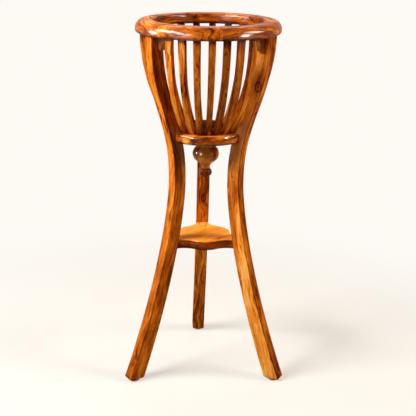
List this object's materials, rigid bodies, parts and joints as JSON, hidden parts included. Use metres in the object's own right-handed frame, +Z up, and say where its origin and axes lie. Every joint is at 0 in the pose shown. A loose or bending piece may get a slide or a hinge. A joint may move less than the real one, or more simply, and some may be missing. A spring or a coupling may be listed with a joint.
{
  "type": "plant stand",
  "caption": "Tall three-legged wooden plant stand: a round rim and a tapering basket of curved slats over a drop finial, with a small scalloped shelf between outswept legs.",
  "frame": {"origin": "on the floor, under the middle of the ring", "axes": "+Z up along the axis of the ring, -Y towards the front row of slats, +Y towards the rear leg"},
  "size_m": [0.405, 0.3999, 0.9],
  "materials": {
    "wood_ring": "glossy varnish over orange-brown hardwood",
    "wood_leg": "glossy varnish over orange-brown hardwood",
    "wood_slat": "glossy varnish over orange-brown hardwood",
    "wood_board": "glossy varnish over orange-brown hardwood",
    "wood_turned": "glossy varnish over turned hardwood",
    "wood_inner": "bare pale hardwood",
    "wood_block": "thin varnish over pale hardwood",
    "brass_screw": "satin",
    "steel_nail": "satin",
    "glide_black": "matt moulded plastic"
  },
  "bodies": {
    "root": {"ring_segment_1": "wood_ring", "ring_segment_2": "wood_ring", "ring_segment_3": "wood_ring", "ring_segment_4": "wood_ring", "ring_segment_5": "wood_ring", "ring_segment_6": "wood_ring", "ring_tongues": "wood_inner", "leg_rear": "wood_leg", "leg_left": "wood_leg", "leg_right": "wood_leg", "slat_front_1": "wood_slat", "slat_front_2": "wood_slat", "slat_front_3": "wood_slat", "slat_front_4": "wood_slat", "slat_front_5": "wood_slat", "slat_front_6": "wood_slat", "slat_front_7": "wood_slat", "slat_right_1": "wood_slat", "slat_right_2": "wood_slat", "slat_right_3": "wood_slat", "slat_right_4": "wood_slat", "slat_right_5": "wood_slat", "slat_right_6": "wood_slat", "slat_right_7": "wood_slat", "slat_left_1": "wood_slat", "slat_left_2": "wood_slat", "slat_left_3": "wood_slat", "slat_left_4": "wood_slat", "slat_left_5": "wood_slat", "slat_left_6": "wood_slat", "slat_left_7": "wood_slat", "basket_base": "wood_board", "base_dowels": "wood_inner", "finial_bulb": "wood_turned", "finial_tip": "wood_turned", "shelf": "wood_board", "shelf_dowels": "wood_inner", "corner_block_left": "wood_block", "corner_block_right": "wood_block", "block_screws": "brass_screw", "glide_rear": "glide_black", "glide_left": "glide_black", "glide_right": "glide_black", "glide_nails": "steel_nail"}
  },
  "joints": []
}
